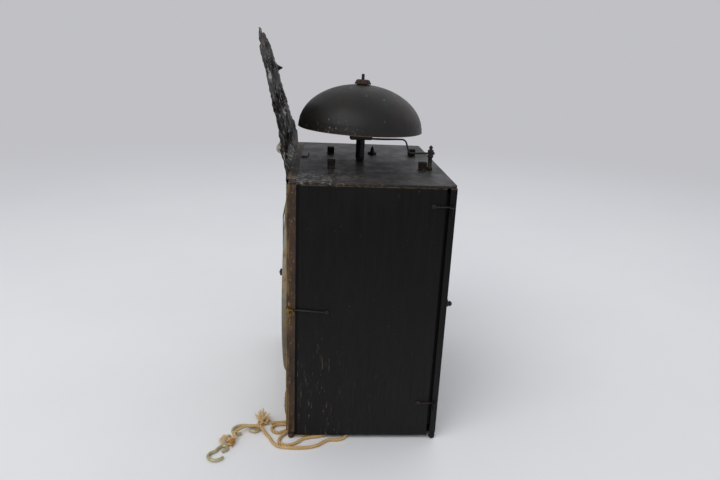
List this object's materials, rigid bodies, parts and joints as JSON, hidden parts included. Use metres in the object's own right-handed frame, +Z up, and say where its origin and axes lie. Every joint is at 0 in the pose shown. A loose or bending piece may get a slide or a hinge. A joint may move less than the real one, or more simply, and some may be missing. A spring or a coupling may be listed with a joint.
{
  "type": "comtoise clock",
  "caption": "Iron caged clock movement with a domed bell and hammer on top, a leaning embossed crest, an enamel dial, hinged side doors and two weight ropes.",
  "frame": {"origin": "under the middle of the clock without its ropes, on the surface that it stands on", "axes": "+Z up, the dial faces -Y, +X to the right of someone who faces the dial"},
  "size_m": [0.285, 0.2396, 0.409],
  "materials": {
    "dark_iron": "matt, worn",
    "plate_iron": "matt",
    "rusty_iron": "rusty",
    "bell_bronze": "dark patina",
    "steel": "aged",
    "brass": "aged",
    "old_brass": "dark, stained",
    "enamel": "gloss",
    "hook_brass": "dull",
    "rope": "hemp"
  },
  "bodies": {
    "cage": {"bottom_plate": "dark_iron", "top_plate": "plate_iron", "front_left_pillar": "old_brass", "front_right_pillar": "old_brass", "rear_left_pillar": "dark_iron", "rear_right_pillar": "dark_iron", "back_plate": "dark_iron", "going_front_bar": "steel", "going_rear_bar": "steel", "strike_front_bar": "steel", "strike_rear_bar": "steel", "motion_bridge": "steel", "rack_bracket": "steel", "dial_surround": "old_brass", "dial": "enamel", "crest": "old_brass", "pointed_stud": "rusty_iron", "crest_wire": "rusty_iron", "bell_stand": "rusty_iron", "bell": "bell_bronze", "bell_nut": "rusty_iron", "going_rope": "rope", "strike_rope": "rope", "going_knot": "rope", "strike_knot": "rope", "going_s_hook": "hook_brass", "strike_s_hook": "hook_brass"},
    "back_turn_latch": {"back_latch": "rusty_iron"},
    "hammer": {"hammer_arbor": "rusty_iron", "hammer_arm": "dark_iron", "hammer_head": "dark_iron"},
    "left_side_door": {"left_door": "dark_iron", "left_upper_strap": "rusty_iron", "left_lower_strap": "rusty_iron"},
    "left_hook": {"left_latch_hook": "dark_iron"},
    "right_side_door": {"right_door": "dark_iron", "right_upper_strap": "rusty_iron", "right_lower_strap": "rusty_iron"},
    "right_hook": {"right_latch_hook": "dark_iron"},
    "going_great": {"going_great_wheel": "brass", "going_barrel": "steel", "going_winding": "rope"},
    "going_pawl": {"going_click": "steel"},
    "going_second": {"going_second_wheel": "brass"},
    "escape": {"escape_wheel": "brass"},
    "anchor_arbor": {"anchor": "steel"},
    "strike_great": {"strike_great_wheel": "brass", "strike_barrel": "steel", "strike_winding": "rope"},
    "strike_pawl": {"strike_click": "steel"},
    "strike_second": {"strike_second_wheel": "brass"},
    "fly_arbor": {"fly": "brass"},
    "minute_arbor": {"minute_wheel": "brass", "cannon_pinion": "steel", "minute_hand": "dark_iron", "hand_nut": "brass"},
    "intermediate_arbor": {"intermediate_wheel": "brass"},
    "hour_pipe": {"hour_wheel": "brass", "hour_hand": "dark_iron"},
    "strike_rack": {"rack": "steel"}
  },
  "joints": [
    {"name": "back_latch_turn", "type": "hinge", "parent": "cage", "child": "back_turn_latch", "pos_m": [0.1176, 0.0967, 0.156], "axis": [0, 1, 0], "range_deg": [0, 90]},
    {"name": "hammer_swing", "type": "hinge", "parent": "cage", "child": "hammer", "pos_m": [0.0433, 0.0807, 0.28], "axis": [0, 0, 1], "range_deg": [-20, 0.6], "stiffness_Nm_per_rad": 0.02},
    {"name": "left_door_hinge", "type": "hinge", "parent": "cage", "child": "left_side_door", "pos_m": [-0.1238, 0.0904, 0.15], "axis": [0, 0, -1], "range_deg": [0, 120]},
    {"name": "right_door_hinge", "type": "hinge", "parent": "cage", "child": "right_side_door", "pos_m": [0.1238, 0.0904, 0.15], "axis": [0, 0, 1], "range_deg": [0, 120]},
    {"name": "left_hook_lift", "type": "hinge", "parent": "left_side_door", "child": "left_hook", "pos_m": [-0.12215, -0.0236, 0.1465], "axis": [-1, 0, 0], "range_deg": [0, 100]},
    {"name": "right_hook_lift", "type": "hinge", "parent": "right_side_door", "child": "right_hook", "pos_m": [0.12215, -0.0236, 0.1465], "axis": [-1, 0, 0], "range_deg": [0, 100]},
    {"name": "going_second_turn", "type": "hinge", "parent": "cage", "child": "going_second", "pos_m": [-0.042, 0, 0.1337], "axis": [0, 1, 0], "continuous": true},
    {"name": "going_great_turn", "type": "hinge", "parent": "cage", "child": "going_great", "pos_m": [-0.042, 0, 0.0887], "axis": [0, 1, 0], "continuous": true},
    {"name": "going_click_lift", "type": "hinge", "parent": "going_great", "child": "going_pawl", "pos_m": [-0.07058, -0.0058, 0.1052], "axis": [0, -1, 0], "range_deg": [0, 15], "stiffness_Nm_per_rad": 0.001},
    {"name": "escape_turn", "type": "hinge", "parent": "cage", "child": "escape", "pos_m": [-0.042, 0, 0.1742], "axis": [0, 1, 0], "continuous": true},
    {"name": "anchor_swing", "type": "hinge", "parent": "cage", "child": "anchor_arbor", "pos_m": [-0.042, 0, 0.2057], "axis": [0, 1, 0], "range_deg": [-2.5, 2.5]},
    {"name": "strike_second_turn", "type": "hinge", "parent": "cage", "child": "strike_second", "pos_m": [0.042, 0, 0.1337], "axis": [0, 1, 0], "continuous": true},
    {"name": "strike_great_turn", "type": "hinge", "parent": "cage", "child": "strike_great", "pos_m": [0.042, 0, 0.0887], "axis": [0, 1, 0], "continuous": true},
    {"name": "strike_click_lift", "type": "hinge", "parent": "strike_great", "child": "strike_pawl", "pos_m": [0.01342, -0.0058, 0.1052], "axis": [0, -1, 0], "range_deg": [0, 15], "stiffness_Nm_per_rad": 0.001},
    {"name": "fly_turn", "type": "hinge", "parent": "cage", "child": "fly_arbor", "pos_m": [0.042, 0, 0.1742], "axis": [0, 1, 0], "continuous": true},
    {"name": "minute_turn", "type": "hinge", "parent": "cage", "child": "minute_arbor", "pos_m": [0, -0.04, 0.1407], "axis": [0, 1, 0], "continuous": true},
    {"name": "intermediate_turn", "type": "hinge", "parent": "cage", "child": "intermediate_arbor", "pos_m": [0.042, -0.04, 0.1477], "axis": [0, 1, 0], "continuous": true},
    {"name": "hour_turn", "type": "hinge", "parent": "cage", "child": "hour_pipe", "pos_m": [0, -0.05, 0.1407], "axis": [0, 1, 0], "continuous": true},
    {"name": "rack_lift", "type": "slide", "parent": "cage", "child": "strike_rack", "axis": [0, 0, 1], "range_m": [0, 0.03]}
  ],
  "couplings": [
    {"joint": "going_second_turn", "follows": "going_great_turn", "ratio": -8},
    {"joint": "escape_turn", "follows": "going_great_turn", "ratio": 64},
    {"joint": "minute_turn", "follows": "going_great_turn", "ratio": 1.0667},
    {"joint": "intermediate_turn", "follows": "going_great_turn", "ratio": -0.35556},
    {"joint": "hour_turn", "follows": "going_great_turn", "ratio": 0.088889},
    {"joint": "strike_second_turn", "follows": "strike_great_turn", "ratio": -8},
    {"joint": "fly_turn", "follows": "strike_great_turn", "ratio": 64}
  ]
}
